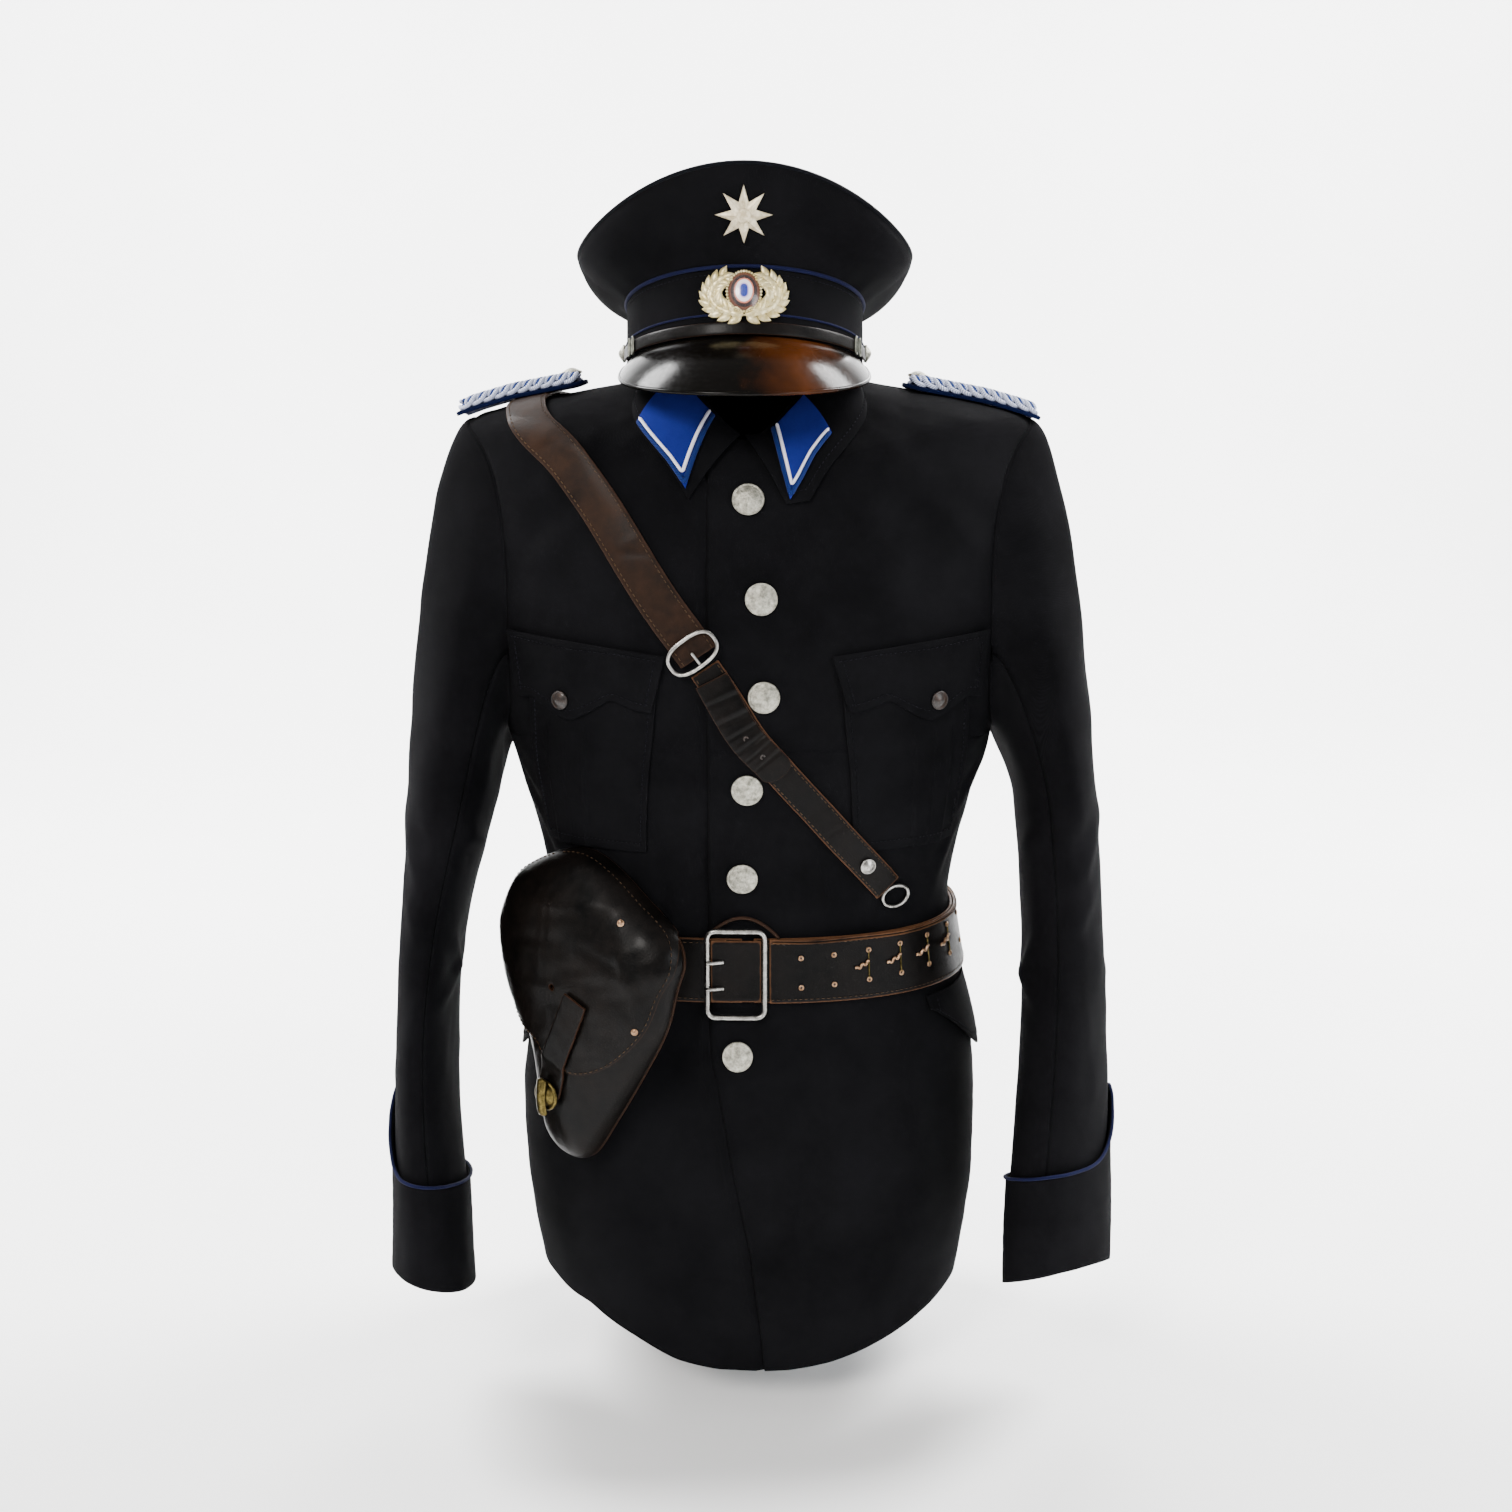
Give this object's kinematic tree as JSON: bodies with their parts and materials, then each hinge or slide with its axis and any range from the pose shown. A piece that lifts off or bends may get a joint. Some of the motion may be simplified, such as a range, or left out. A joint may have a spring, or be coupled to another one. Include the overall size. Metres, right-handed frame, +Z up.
{
  "type": "police uniform",
  "caption": "Closed dark service tunic with belt, cross strap and holster, and a peaked cap, standing as if worn with nobody inside.",
  "frame": {"origin": "middle of the neck opening, level with the points where the shoulder seams meet the collar", "axes": "+X to the wearer's left, -Y to the front, +Z up"},
  "size_m": [0.6148, 0.3125, 0.964],
  "materials": {
    "navy_wool_cloth": "matt",
    "blue_collar_cloth": "matt",
    "woven_shoulder_cord": "matt",
    "black_leather": "satin",
    "worn_brown_leather": "worn",
    "lacquered_visor": "gloss",
    "nickel_plate": "polished",
    "aged_brass": "aged",
    "pale_button_alloy": "pebbled",
    "dark_horn": "satin",
    "pale_gilt": "pale gilt",
    "cockade_enamel": "enamel"
  },
  "bodies": {
    "root": {"back": "navy_wool_cloth", "badge_cockade": "cockade_enamel", "badge_star": "pale_gilt", "badge_wreath": "pale_gilt", "belt_band": "black_leather", "belt_buckle": "nickel_plate", "belt_prong_1": "nickel_plate", "belt_prong_2": "nickel_plate", "belt_tongue": "black_leather", "breast_flap_left": "navy_wool_cloth", "breast_flap_right": "navy_wool_cloth", "breast_pocket_left": "navy_wool_cloth", "breast_pocket_right": "navy_wool_cloth", "cap_band": "navy_wool_cloth", "cap_button_left": "pale_button_alloy", "cap_button_right": "pale_button_alloy", "cap_visor": "lacquered_visor", "chin_strap": "lacquered_visor", "collar_fall": "navy_wool_cloth", "collar_stand": "navy_wool_cloth", "collar_tab_left": "blue_collar_cloth", "collar_tab_right": "blue_collar_cloth", "crown_side": "navy_wool_cloth", "crown_top": "navy_wool_cloth", "cuff_left": "navy_wool_cloth", "cuff_right": "navy_wool_cloth", "flap_button_left": "dark_horn", "flap_button_right": "dark_horn", "front_button_1": "pale_button_alloy", "front_button_2": "pale_button_alloy", "front_button_3": "pale_button_alloy", "front_button_4": "pale_button_alloy", "front_button_5": "pale_button_alloy", "front_button_6": "pale_button_alloy", "front_left": "navy_wool_cloth", "front_right": "navy_wool_cloth", "hip_flap_left": "navy_wool_cloth", "hip_flap_right": "navy_wool_cloth", "holster_back": "black_leather", "holster_clasp": "aged_brass", "holster_flap": "black_leather", "holster_loop": "black_leather", "holster_pouch": "black_leather", "holster_strap": "black_leather", "shoulder_button_left": "pale_button_alloy", "shoulder_button_right": "pale_button_alloy", "shoulder_cord_left": "woven_shoulder_cord", "shoulder_cord_right": "woven_shoulder_cord", "strap_buckle": "nickel_plate", "strap_long": "worn_brown_leather", "strap_ring_back": "nickel_plate", "strap_ring_front": "nickel_plate", "strap_short": "black_leather", "strap_stud": "nickel_plate", "strap_tail": "black_leather", "top_sleeve_left": "navy_wool_cloth", "top_sleeve_right": "navy_wool_cloth", "under_sleeve_left": "navy_wool_cloth", "under_sleeve_right": "navy_wool_cloth"}
  },
  "joints": []
}
